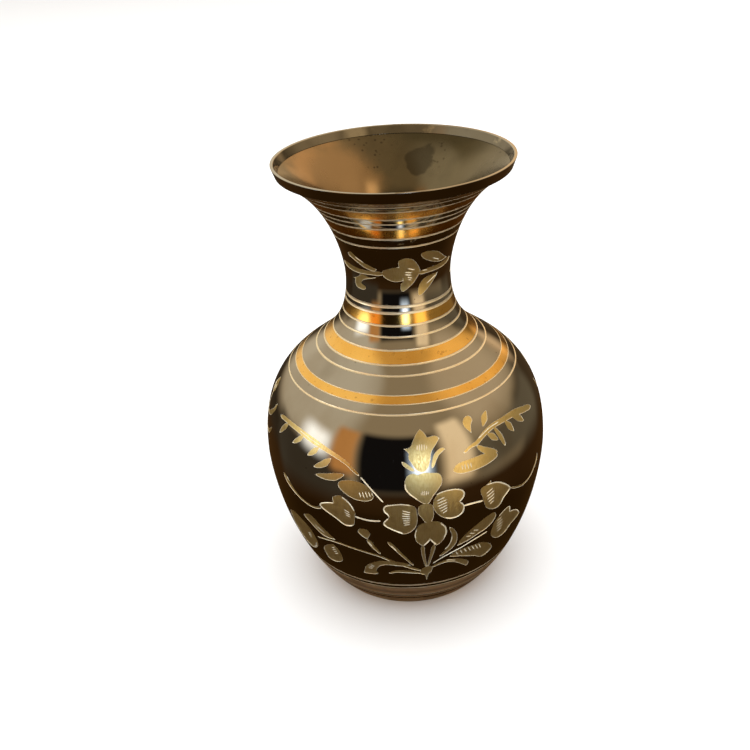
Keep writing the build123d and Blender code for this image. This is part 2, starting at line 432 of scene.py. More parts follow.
# The flower spray of the body.  Angles in degrees, then the arc in millimetres.
BODY_SCALE = 1.11
BODY_LEAVES = [
    # heart below the middle, and the middle itself
    ([(4.4, 57.6), (2.6, 60.2), (2, 63.5), (2.6, 67), (4.3, 70), (8.5, 71), (12, 69.7), (14, 66.5),
      (14.4, 63), (13.5, 60), (11.8, 57.3), (10.3, 56.4), (9.1, 58), (7.9, 61), (6.9, 58.6),
      (5.5, 57)], [13]),
    ([(4, 79.5), (3.6, 76), (5, 73), (6.2, 70.8), (8.2, 70.8), (9.3, 74), (9.2, 77), (8.8, 79.5),
      (6.5, 80.5)], []),
    # petals right, left and above
    ([(9.2, 79.5), (9.6, 82), (11.5, 84.4), (15, 85.3), (18.5, 84.9), (21, 83.3), (21.4, 81),
      (20.6, 79.7), (19.3, 78.5), (20.6, 76.6), (21.2, 75), (21, 73), (19.5, 71.4), (17, 70.8),
      (14.5, 71.2), (12, 73), (10.2, 75.5), (9.3, 77.8)], [8]),
    ([(2.6, 79), (1, 80.3), (-2.5, 80.9), (-6, 80.6), (-8, 80.3), (-9, 78.8), (-9, 77),
      (-7.5, 75.5), (-7.2, 74), (-8.5, 72.5), (-9.6, 70.6), (-8.8, 69), (-6, 67), (-3.5, 65.4),
      (-1.5, 65), (1.2, 66.8), (2.8, 70), (3.2, 74), (3, 77)], [8]),
    ([(5.8, 80.5), (3.5, 82.5), (0.5, 85.5), (-0.9, 88), (-0.9, 91), (0, 93.5), (2, 94.6),
      (4, 93.8), (6.3, 94.5), (9, 94.2), (12, 93.4), (13, 91), (12.6, 88.5), (11, 86), (9.2, 83.5),
      (7.5, 80.5)], [7]),
    # bud at the top
    ([(4.2, 95.5), (2.5, 98), (0.9, 101), (1, 103), (-0.7, 104.8), (1.8, 105.5), (3, 107.8),
      (4.5, 110.5), (6.2, 112.3), (7.6, 111), (8.8, 108.8), (10.5, 108.9), (12.3, 109),
      (13.8, 107.8), (12, 105.5), (10, 103), (9.2, 100), (8.3, 97), (6.5, 95)], [4, 8, 10, 13]),
    # heart leaves far right and far left
    ([(28.2, 79.7), (28.6, 81.6), (31, 82.3), (33, 83.6), (33.2, 82), (36, 81.4), (38.5, 79.8),
      (41, 77.4), (43, 75), (43.3, 74.3), (41.5, 72.8), (39.2, 71), (38.2, 68.8), (36.3, 67.7),
      (33.5, 68.3), (31, 70.5), (29.8, 73.5), (29, 77)], [3, 9]),
    ([(-20.2, 74.5), (-21.2, 77.5), (-23, 80), (-26, 81.7), (-29, 80.2), (-29.3, 78.5), (-29, 77),
      (-32, 76.2), (-35.2, 74.5), (-35.8, 73), (-34.5, 71.8), (-31, 70), (-28, 68.2),
      (-26, 66.6), (-24.3, 66), (-22, 67), (-21, 68.5), (-20.6, 71.5)], [6]),
    # leaf up to the left
    ([(-12.5, 84), (-14, 87.5), (-17.5, 89.8), (-22, 90), (-26, 88.5), (-26.5, 86), (-24, 83.5),
      (-20, 81.5), (-16, 81.3), (-13.5, 82.3)], [0]),
    # fern leaves up to the right
    ([(26, 96.5), (31, 96.5), (36, 95.5), (37, 93), (32, 91.5), (26, 91), (20, 91.5), (17.5, 93.5),
      (20, 96)], []),
    ([(25.5, 109.5), (25.2, 111.8), (27, 113.5), (29.2, 113.3), (29.8, 111.4), (28.4, 109.6),
      (27.6, 106.5)], [6]),
    # leaves low on the right
    ([(35.2, 54), (35.6, 57), (36, 59), (38.5, 61.5), (41, 63.3), (43.5, 64), (44.7, 62), (45, 60),
      (48, 58.8), (51, 56.5), (53.5, 53.5), (54.3, 52), (52, 50.5), (48, 49.3), (46, 47),
      (43, 45.8), (40, 46.5), (37.5, 48.5), (35.7, 51)], [5, 7, 11]),
    ([(19.2, 53), (20, 55.5), (22, 58.5), (25, 61.3), (28, 63.3), (32, 65.3), (35, 65.6),
      (36.4, 63), (35, 60), (32, 57.7), (28, 56.3), (24, 54.5)], [0]),
    ([(16.3, 46.8), (18, 48.8), (21, 49.8), (26, 49.9), (31, 49.2), (35, 46.5), (37.7, 43),
      (38.4, 40.5), (36.5, 38.3), (34, 37.5), (31.5, 38.6), (29, 40.8), (25, 43), (21, 45),
      (18, 46)], [0]),
    # root of the spray
    ([(5, 41), (7, 42.2), (9, 41.5), (9, 38), (7.8, 35.8), (7, 30.5), (6.3, 35), (4.5, 36.3),
      (4, 39)], [5]),
    # leaves low on the left
    ([(-21.8, 34.4), (-20.8, 37.5), (-19.8, 40.5), (-17, 43.8), (-13, 46.3), (-8, 46.9), (-3, 46),
      (0, 44), (-4, 43.4), (-9, 44), (-12.5, 43), (-14.5, 40.5), (-15.3, 38), (-14.8, 36.2),
      (-17, 34.8)], [0, 7]),
    ([(-20, 64), (-19.2, 65.8), (-17.5, 66.4), (-15.8, 65.6), (-15.2, 63.5), (-15.8, 61.8),
      (-16.5, 60.3), (-18.4, 61.6)], [6]),
    ([(-31.5, 54.5), (-34, 57), (-37.5, 60), (-40.5, 63), (-43, 64), (-46, 62.3), (-47, 61),
      (-44, 58.5), (-41, 56), (-38.5, 54.2), (-35, 53.8)], [0]),
    ([(-33.5, 50.3), (-36.5, 48.5), (-39, 46.3), (-40.8, 43), (-40.8, 39.5), (-40.3, 36.5),
      (-37.5, 35.6), (-34, 37), (-31.5, 39.5), (-30.8, 43), (-31.2, 46.5), (-32.3, 49)], [0]),
    ([(-44.3, 50.3), (-43.8, 46), (-45, 42), (-48, 38.5), (-52, 36), (-56.5, 36.5), (-61, 42),
      (-62, 47), (-60.5, 54), (-57, 57), (-52, 57.2), (-47.5, 55), (-45, 52.5)], [0]),
]
BODY_STROKES = [
    # side leaves of the bud
    ([(-1.8, 99.6), (0.5, 97.5), (3, 95.5)], (1.6, 1.6, 1.2)),
    ([(9.5, 96), (11.5, 101), (14, 103), (15.4, 103)], (1.2, 2.0, 1.6)),
    # tendrils right and left
    ([(43.3, 74.3), (47, 72.3), (52, 70.6), (57, 71), (61, 73.2), (63.5, 76), (64.3, 78.5)],
     (0.8, 1.2, 2.2)),
    ([(-35.2, 71.8), (-40, 70.3), (-46, 71.3), (-51, 73.8), (-54, 76), (-57, 78.6)],
     (1.0, 1.3, 3.4)),
    # fern up to the left
    ([(-18, 92.7), (-24, 97.5), (-30, 99.8), (-38, 101.8), (-48, 103.3), (-58, 103.6), (-64, 103)],
     (1.2, 2.6, 1.8)),
    ([(-36.2, 100.4), (-38.4, 98), (-41.6, 95)], (1.0, 2.6, 2.2, 0.8)),
    ([(-30, 97.6), (-33.6, 94), (-38, 91.2)], (1.0, 3.0, 2.4, 0.8)),
    ([(-24, 92), (-30, 89.3), (-37, 88)], (1.0, 3.4, 2.8, 0.8)),
    ([(-45, 102.4), (-47.6, 99.6), (-51, 96.6)], (0.8, 2.4, 2.0, 0.8)),
    ([(-56, 103), (-59, 99.6), (-61.6, 96)], (0.8, 2.6, 2.2, 0.8)),
    # fern up to the right
    ([(22.5, 99.5), (26, 101.3), (29, 102), (33, 104.3), (38, 105.8), (44, 106), (52, 105.5),
      (60, 103.3), (65.5, 101.5)], (1.0, 2.2, 2.2, 3.0, 2.4)),
    ([(33.5, 107.3), (35.5, 110), (38, 112.7)], (1.8, 3.4, 2.0)),
    ([(28.5, 101), (31.8, 97.8), (37.5, 94.8)], (1.6, 3.0, 2.0)),
    ([(34.5, 104), (36.8, 101.8), (39, 99.5)], (1.6, 3.0, 1.8)),
    ([(38.5, 105.5), (40.5, 100.5), (42, 95.5)], (1.2, 2.4, 1.4)),
    ([(45, 105.5), (46.9, 102), (48.5, 99)], (1.6, 3.2, 1.8)),
    ([(50, 105), (53.4, 102.8), (56.5, 99.6)], (1.6, 3.4, 1.8)),
    # curved leaves low on the right
    ([(9, 41), (12, 43), (16, 43.8), (20, 42.3), (23, 40), (25.3, 37.4), (25.6, 35.2)],
     (1.4, 1.8, 2.8, 3.2)),
    ([(11.9, 48.5), (14.5, 51), (16.7, 54), (17.6, 58), (17.3, 62), (15.5, 66)], (1.0, 3.2, 1.2)),
    # stems under the heart
    ([(4.9, 57.3), (5.2, 52), (5.8, 47), (6.6, 42)], (1.8, 1.3, 0.8)),
    ([(9.5, 57), (8.8, 52), (8, 47), (7.2, 42)], (2.0, 1.4, 0.8)),
    # stems and thin leaves low on the left
    ([(4.5, 39.5), (1, 41.5), (-3, 44), (-7, 46.6), (-12, 49.6), (-17, 51.2), (-23, 52.3),
      (-29, 53), (-35, 52.5), (-42, 50.5)], (1.6, 1.2, 0.8)),
    ([(-8.5, 60), (-5.6, 55.5), (-2.4, 50), (1.2, 43.8)], (1.8, 1.5, 0.7)),
    ([(-9.7, 37.2), (-6.5, 39), (-2, 39), (3, 37.8), (5, 37)], (1.3, 2.2, 1.2)),
    ([(-16.5, 60.5), (-16, 59), (-14.5, 55.8), (-12, 51.5)], (2.2, 1.8, 1.0)),
]
EDGE_CUT = 0.55
BODY_CUTS = [
    # bright stems
    ([(20.8, 75.9), (25, 75.7), (29.2, 75.1)], 0.85),
    ([(-10.4, 72), (-15, 71.6), (-20.5, 72.6)], 0.8),
    ([(-9, 81.5), (-12, 85.5), (-15, 89.3), (-17.5, 92.3)], 0.6),
    ([(9.3, 44), (13, 47), (17, 49.3), (21, 51), (26, 53.3), (30, 54.5), (33, 55.3)], 0.6),
    # outlines
    ([(5.4, 57.3), (6.4, 58.3), (7.9, 60.6)], EDGE_CUT),
    ([(7.9, 60.6), (9.2, 58.4), (10.4, 57)], EDGE_CUT),
    ([(11.8, 69.2), (13.6, 66.6), (14.1, 63), (13.3, 60.2)], 0.45),
    ([(2.4, 62), (2.2, 64.5), (2.9, 67.3)], 0.4),
    ([(10.5, 84), (12.6, 84.8), (15, 85.1), (18.5, 84.7), (21, 82.9), (20.9, 80.4), (19.4, 78.6)],
     EDGE_CUT),
    ([(19.4, 78.4), (20.8, 76.4), (21, 74.4), (20.2, 72.3), (18.4, 71.1), (16, 70.9), (13.6, 71.8)],
     EDGE_CUT),
    ([(1, 80.1), (-2.5, 80.7), (-6, 80.3), (-8.6, 79.4), (-8.9, 77.3), (-7.4, 75.2), (-7.3, 74.2)],
     EDGE_CUT),
    ([(-7.4, 73.8), (-9.3, 71), (-8.4, 69), (-5.6, 67), (-2.3, 65.2)], EDGE_CUT),
    ([(3.6, 82.6), (1, 85.4), (-0.6, 88), (-0.7, 90.4)], 0.45),
    ([(31, 82.1), (33.8, 81.8), (36.2, 81), (38.6, 79.3), (41, 77.1), (43, 74.6)], EDGE_CUT),
    ([(43, 74.2), (41.4, 73), (39.3, 71.2), (38.3, 69.2)], EDGE_CUT),
    ([(-20.6, 75.4), (-21.6, 77.8), (-23.2, 79.7), (-25.4, 81.2)], EDGE_CUT),
    ([(-29, 77), (-32, 76), (-35, 74.4), (-35.4, 72.8), (-33.4, 71.4), (-30.6, 70), (-28, 68.4),
      (-25.8, 66.7), (-23.6, 66.4), (-21.8, 67.2)], EDGE_CUT),
    ([(38, 61), (40.8, 63), (43.5, 63.7), (44.5, 61.8), (45, 59.7), (47.8, 58.6), (51, 56.2),
      (54, 52.2)], EDGE_CUT),
    ([(-45.4, 44), (-47, 40.4), (-50, 37.6)], EDGE_CUT),
    ([(-7.4, 57.6), (-6.4, 55.8), (-5.4, 54)], 0.5),
    ([(-16.5, 58.7), (-15.7, 57.3), (-15, 56)], 0.5),
    ([(15, 44.4), (17.4, 43.7), (19.5, 42.5)], 0.45),
    ([(16.7, 60), (16.4, 57.2), (15.4, 54.4), (14, 52.5)], 0.5),
    ([(-53, 76.5), (-55, 78.2)], 0.6),
    ([(-36, 101.4), (-42, 102.5), (-48, 103.4)], 0.4),
    ([(30, 103.4), (36, 105.6), (42, 106.2)], 0.4),
]
HATCH = 0.42
BODY_HATCH = [
    # petals
    (10.5, 81, 13.8, 82.2), (10.6, 79.6, 14.4, 80.9), (10.8, 78.2, 14.7, 79.6),
    (11.2, 76.8, 14.8, 78.3), (11.8, 75.5, 14.7, 77), (12.6, 74.3, 14.6, 75.6),
    (-2.2, 77.6, 0.8, 76.4), (-2.4, 76.3, 0.7, 75.4), (-2.5, 75, 0.7, 74.4), (-2.5, 73.7, 0.7, 73.4),
    (-2.4, 72.4, 0.6, 72.4), (-2.2, 71.1, 0.5, 71.4), (-1.9, 69.9, 0.4, 70.4),
    (5, 84.4, 5, 86.4), (5.6, 84.3, 5.6, 86.6), (6.2, 84.3, 6.3, 86.7), (6.9, 84.3, 7, 86.5),
    (7.5, 84.5, 7.7, 86.3),
    (4.4, 103.9, 4.6, 106.2), (5.3, 103.7, 5.5, 106.4), (6.2, 103.6, 6.4, 106.4),
    (7.2, 103.6, 7.4, 106.2), (8.1, 103.8, 8.3, 105.8),
    # heart leaves
    (30.6, 77.8, 34, 79.3), (30.8, 76.2, 34.6, 77.8), (31.1, 74.6, 34.8, 76.2),
    (31.6, 73, 34.7, 74.4), (32.4, 71.5, 34.5, 72.6),
    (-24.8, 75, -22.4, 73.8), (-24.8, 73.7, -22.2, 72.6), (-24.4, 72.4, -22.2, 71.5),
    (37.6, 58.6, 40.2, 59.6), (37.8, 56.8, 41, 57.8), (38, 55, 41.6, 55.8), (38.4, 53.2, 41.8, 53.8),
    (38.8, 51.5, 41.6, 51.8),
    (-46.6, 49.4, -49.4, 48.2), (-46.8, 48, -49.4, 46.9), (-47.2, 46.6, -49.2, 45.8),
    # leaves
    (-13.4, 85.6, -12.9, 84.2), (-14.6, 86, -13.8, 83.6), (-15.8, 86, -14.9, 83),
    (-17, 85.8, -16.2, 82.8), (-18.2, 85.4, -17.5, 82.8),
    (22.8, 57.4, 25.2, 56.6), (24.2, 58.6, 26.8, 57.5), (25.8, 59.8, 28.4, 58.6),
    (19, 48.8, 20.2, 46.4), (20.8, 49.3, 22.2, 46.4), (22.6, 49.6, 24.2, 46.4),
    (24.4, 49.7, 26.2, 46.2), (26.2, 49.6, 28, 46), (28, 49.4, 29.8, 45.6), (29.8, 49, 31.4, 45.2),
    (-18.8, 39.8, -16.9, 39), (-18.5, 41.2, -16.4, 40.2), (-17.6, 42.4, -15.6, 41.3),
    (-38.4, 57.4, -36.8, 55.6), (-39.8, 58.2, -38.2, 56.2), (-41.2, 59, -39.6, 56.8),
    (-33.2, 48.4, -35.4, 46.8), (-33, 47, -35.4, 45.4), (-32.8, 45.6, -35, 44.2),
    (-32.6, 44.2, -34.6, 43),
    (21.4, 92.6, 21.2, 94.8), (22.6, 92.4, 22.4, 95), (23.8, 92.3, 23.7, 95), (25, 92.4, 24.9, 94.8),
]
# A plain sprig that stands between two sprays.
SPRIG = -83.4
SPRIG_STROKES = [([(0, 80), (0.6, 88), (-0.4, 97), (0, 104.5)], (0.9, 1.2, 0.9))]
for x in (1, -1):
    SPRIG_STROKES += [
        ([(0.4 * x, 95), (6.5 * x, 97), (11.4 * x, 101.5), (12.6 * x, 105)], (1.0, 2.6, 1.6)),
        ([(0.4 * x, 87), (6 * x, 88), (10 * x, 90), (12.6 * x, 93)], (0.9, 2.2, 1.2)),
    ]
SPRIG_LEAVES = [
    ([(0, 103.5), (-2.4, 106), (-2.6, 109), (0, 112.3), (2.6, 109), (2.4, 106)], [0, 3]),
]
SPRIG_HATCH = [(-1.1, 105.8, -1.1, 108), (0, 105.6, 0, 108.4), (1.1, 105.8, 1.1, 108)]


def moved(points, across):
    """Points shifted round the vase."""
    return [(x + across, y) for x, y in points]


def hatching(dashes):
    """Short straight cuts from (degrees, arc, degrees, arc) ends."""
    return [([(a, b), ((a + c) / 2, (b + d) / 2), (c, d)], HATCH) for a, b, c, d in dashes]


body_motif = (
    BODY_LEAVES + [(moved(points, SPRIG), corners) for points, corners in SPRIG_LEAVES],
    BODY_STROKES + [(moved(points, SPRIG), widths) for points, widths in SPRIG_STROKES],
    BODY_CUTS + hatching(BODY_HATCH)
    + [(moved(points, SPRIG), width) for points, width in hatching(SPRIG_HATCH)],
)

# The narrower spray of the neck.
NECK_SCALE = 0.41
NECK_LEAVES = [
    ([(1, 181.9), (1, 184.8), (6, 186), (11, 185.8), (15.5, 184.6), (19, 182.6), (21.5, 180.5),
      (22.5, 179), (20, 176.6), (15.5, 173.9), (10, 172), (5, 170.6), (3, 170.7), (2, 172),
      (2.5, 174), (5, 175.1), (3.4, 178.4)], [12]),
    ([(1, 182.1), (-5, 181.6), (-13, 180.6), (-16, 179.3), (-14, 177.2), (-8, 175.6), (-2, 175.1),
      (5, 175.3), (4, 178.6)], [0, 7]),
    ([(22.5, 187.5), (28, 187.9), (34, 187.3), (40, 186.3), (46, 184.5), (52, 182.3), (58, 181),
      (50, 180.6), (44, 180.9), (36, 182), (28, 183.8), (23.5, 185.5), (21.8, 186.8)], [6]),
    ([(45, 175.8), (38, 175.9), (30, 175.5), (26, 174.6), (22, 172.5), (20.5, 170), (21, 168.2),
      (24, 168), (30, 169.5), (36, 171.5), (42, 174)], [0]),
    ([(-21, 180.6), (-28, 182), (-35, 183.2), (-42, 185.3), (-46, 186.8), (-49, 187), (-52, 186.2),
      (-53, 185), (-48, 183.8), (-42, 182.4), (-36, 181), (-30, 180), (-24, 179.6)], [0]),
    ([(-20, 177), (-30, 176.3), (-40, 177), (-47, 175.2), (-56, 173.6), (-51.5, 174),
      (-52.5, 172.5), (-51, 170.6), (-46, 170), (-40, 170), (-37, 170.8), (-38, 171.9),
      (-41.5, 172.3), (-43, 172.8), (-40, 174.2), (-35, 175.2), (-28, 176)], [4, 13]),
    ([(88, 172), (83, 174.8), (82, 178), (88, 182.5), (94, 178), (93, 174.8)], [0, 3]),
]
NECK_STROKES = [
    ([(20, 178), (32, 178.4), (46, 178.5), (56, 178.9), (66, 179.8)], (1.8, 2.2, 2.4, 2.6)),
    ([(-14, 178.8), (-28, 178.6), (-44, 178.4), (-58, 178.8), (-71, 179.4)],
     (2.2, 1.8, 2.2, 2.8, 2.2)),
    ([(86.5, 172.5), (80, 171.2), (75, 171.8)], (0.8, 1.4, 0.8)),
    ([(89.5, 172.5), (94, 171.2), (98, 171.6)], (0.8, 1.2, 0.8)),
]
NECK_HATCH = [
    (9.5, 181, 17, 179.8), (6.5, 179.2, 14.5, 178.7), (6.3, 178.1, 14, 177.6),
    (9, 176.9, 14.5, 176.2), (9.5, 175.8, 14, 175.2), (25, 178.9, 31, 178.6),
    (35.5, 183.7, 45, 181.7), (30.5, 172.3, 43, 175), (-44, 184.9, -34, 182.9),
    (84, 177, 92, 177), (84.5, 178.4, 91.5, 178.4),
]
neck_motif = (NECK_LEAVES, NECK_STROKES, hatching(NECK_HATCH))

# ---- the three shells and the solder


def from_heights(lines):
    """Lines given as (height, width), with the height turned into an arc."""
    return [(arc_at(height), width) for height, width in lines]


def bands_at(bands):
    """Bands given as (low, high, finish), with the heights turned into arcs."""
    return [(arc_at(low), arc_at(high), finish) for low, high, finish in bands]


foot_lines = from_heights([(11.4, 0.7), (19.8, 0.7), (22.5, 1.2)])
foot_bands = bands_at([(0.5, 6.8, DULL), (8.4, 10.6, DULL), (11.4, 19.8, DULL)])
shoulder_lines = from_heights([
    (109.5, 0.8), (112.4, 0.4), (114.8, 0.4), (119.9, 0.9), (122.9, 0.8), (127.4, 0.8),
    (132.0, 0.9),
])
shoulder_bands = bands_at([(112.5, 114.7, GILT), (123.2, 127.1, GILT)])
root_lines = from_heights([(136.2, 0.9), (141.3, 1.2), (144.0, 1.3)])
root_bands = bands_at([(136.5, 140.9, GILT)])
mouth_lines = from_heights([
    (171.0, 0.9), (175.1, 0.9), (180.2, 0.9), (182.7, 0.8), (185.2, 0.8), (189.4, 0.7),
    (192.4, 0.6),
])
mouth_bands = bands_at([(175.4, 179.9, GILT), (185.5, 189.1, GILT)])

body_low = 28.5
body_high = 114.6
neck_low = 166.3
neck_high = 191.0
SKIN = 0.5              # where a shell meets the one below it, outside the lap
FOOT_EDGE = 1.2         # arc at which the eased foot ends
LIP_EDGE = 0.8          # arc below the lip at which the eased lip starts
EDGE_STEPS = 4
BEAD_POINTS = 9
SEARCH_POINTS = 2000


def deep(height, depth):
    """(radius, height) at a depth in the wall, square in from a height on the outside."""
    return tuple(float(value) for value in wall_at(arc_at(height), depth)[0])


def rounded(corners):
    """Rows and directions along a path of straights, with each inner corner eased."""
    corners = [np.array(corner, float) for corner in corners]
    legs = [(b - a) / np.hypot(*(b - a)) for a, b in zip(corners, corners[1:])]
    rows, facing = [corners[0]], [legs[0]]
    for before, corner, after, a, b in zip(corners, corners[1:], corners[2:], legs, legs[1:]):
        room = min(np.hypot(*(corner - before)), np.hypot(*(after - corner)))
        reach = min(edge_break, room / 2.1)
        for t in np.linspace(0, 1, EDGE_STEPS + 1):
            rows.append(corner - a * reach * (1 - t) ** 2 + b * reach * t**2)
            way = a * (1 - t) + b * t
            facing.append(way / np.hypot(*way))
    rows.append(corners[-1])
    facing.append(legs[-1])
    return np.array(rows), quarter(np.array(facing))


def socket_end(relief, seam, edge=None):
    """Bottom of a shell: its outer skin meets the shell below and the rest laps over it."""
    if edge is None:
        turn_flat(relief, [deep(seam, SKIN), deep(seam, 0)])
    else:
        zip_ring(relief, edge, SKIN, seam, -1, RAW)
    low = seam + film
    turn_flat(relief, [deep(low, socket_depth), deep(low, SKIN), deep(seam, SKIN)])
    turn_wall(relief, arc_at(low), arc_at(low + lap), socket_depth, inner=True)
    turn_flat(relief, [deep(low + lap, wall), deep(low + lap, socket_depth)])


def spigot_end(relief, seam, edge=None):
    """Top of a shell: a step that stands up inside the next shell."""
    if edge is None:
        turn_flat(relief, [deep(seam, 0), deep(seam, spigot_depth)])
    else:
        zip_ring(relief, edge, SKIN, seam, 1, RAW)
        turn_flat(relief, [deep(seam, SKIN), deep(seam, spigot_depth)])
    turn_wall(relief, arc_at(seam), arc_at(seam + lap), spigot_depth)
    turn_flat(relief, [deep(seam + lap, spigot_depth), deep(seam + lap, wall)])


def seam_solder(seam):
    """The solder in one lap, with its bead round the inside."""
    relief = Relief()
    low, tip = seam + film, seam + lap
    high = tip + film
    turn_flat(relief, [deep(seam, SKIN), deep(low, SKIN), deep(low, socket_depth)])
    turn_wall(relief, arc_at(low), arc_at(high), socket_depth)
    turn_flat(relief, [deep(high, socket_depth), deep(high, wall)])
    turn_wall(relief, arc_at(high), arc_at(high + bead_reach), wall)
    ends = np.array([deep(high + bead_reach, wall), deep(tip - bead_reach, wall)])
    crest = np.array(deep((tip + high) / 2, wall + bead_height))
    turns = np.linspace(-1, 1, BEAD_POINTS)[:, None]
    bead = ends.mean(0) + turns * (ends[1] - ends[0]) / 2
    bead += (1 - turns**2) * (crest - ends.mean(0))
    turn(relief, bead, normals_of(bead, False), RAW)
    turn_wall(relief, arc_at(tip - bead_reach), arc_at(tip), wall)
    turn_flat(relief, [deep(tip, wall), deep(tip, spigot_depth)])
    turn_wall(relief, arc_at(seam), arc_at(tip), spigot_depth, inner=True)
    turn_flat(relief, [deep(seam, spigot_depth), deep(seam, SKIN)])
    return relief


def add_lower_shell(relief):
    """Foot, flange, turned lines and the inside of the lower shell."""
    disc_seat = disc_top + film
    flange_top = disc_seat + ledge_thickness
    arcs = np.linspace(0, arc_at(belly_height), SEARCH_POINTS)
    inside_start = float(np.interp(flange_top, wall_at(arcs, wall)[0][:, 1], arcs))
    foot = rounded([
        wall_at(inside_start, wall)[0],
        (disc_radius - ledge_width, flange_top),
        (disc_radius - ledge_width, disc_seat),
        (disc_radius + film, disc_seat),
        (disc_radius + film, disc_bottom),
        (foot_radius - foot_rim_width, disc_bottom),
        (foot_radius - foot_rim_width, 0),
        (foot_radius, 0),
        wall_at(FOOT_EDGE, 0)[0],
    ])
    turn(relief, *foot, RAW)
    turn_lines(relief, FOOT_EDGE, body_low, foot_lines, foot_bands)
    turn_wall(relief, inside_start, arc_at(belly_height + lap), wall, inner=True)


def add_lip(relief):
    """The lip, its machined inner band and the satin funnel; returns the arc below the lip."""
    band_top = (rim_radius - rim_width, top)
    band_bottom = (band_top[0] - band_inset, top - band_height)
    arcs = np.linspace(arc_at(neck_height), arc_at(lip_base), SEARCH_POINTS)
    funnel_radius = band_bottom[0] + band_step
    funnel_end = float(np.interp(funnel_radius, wall_at(arcs, wall)[0][:, 0], arcs))
    start = arc_at(lip_base) - LIP_EDGE
    rows, facing = rounded([
        wall_at(start, 0)[0],
        (lip_radius, lip_base),
        (rim_radius, top),
        band_top,
        band_bottom,
        wall_at(funnel_end, wall)[0],
    ])
    for i, (radius, height) in enumerate((rows[:-1] + rows[1:]) / 2):
        if radius > band_top[0] - 0.1:
            finish = BLACK
        else:
            finish = SMOKED if height > band_bottom[1] else SATIN
        turn(relief, rows[i:i + 2], facing[i:i + 2], finish)
    turn_wall(relief, arc_at(neck_seam + film + lap), funnel_end, wall, SATIN, inner=True)
    return start


lower, upper, neck = Relief(), Relief(), Relief()
edge = carve(lower, upper, body_motif, BODY_SCALE, FIRST_COLUMN, body_low, body_high,
             arc_at(belly_height))
add_lower_shell(lower)
spigot_end(lower, belly_height, edge)

socket_end(upper, belly_height, edge)
turn_lines(upper, body_high, arc_at(neck_seam), shoulder_lines, shoulder_bands)
spigot_end(upper, neck_seam)
upper_inside = arc_at(belly_height + film + lap)
turn_wall(upper, upper_inside, arc_at(neck_seam + lap), wall, inner=True)

socket_end(neck, neck_seam)
turn_lines(neck, arc_at(neck_seam), neck_low, root_lines, root_bands)
carve(neck, neck, neck_motif, NECK_SCALE, FIRST_COLUMN + 20, neck_low, neck_high)
turn_lines(neck, neck_high, add_lip(neck), mouth_lines, mouth_bands)

# ---- finishes


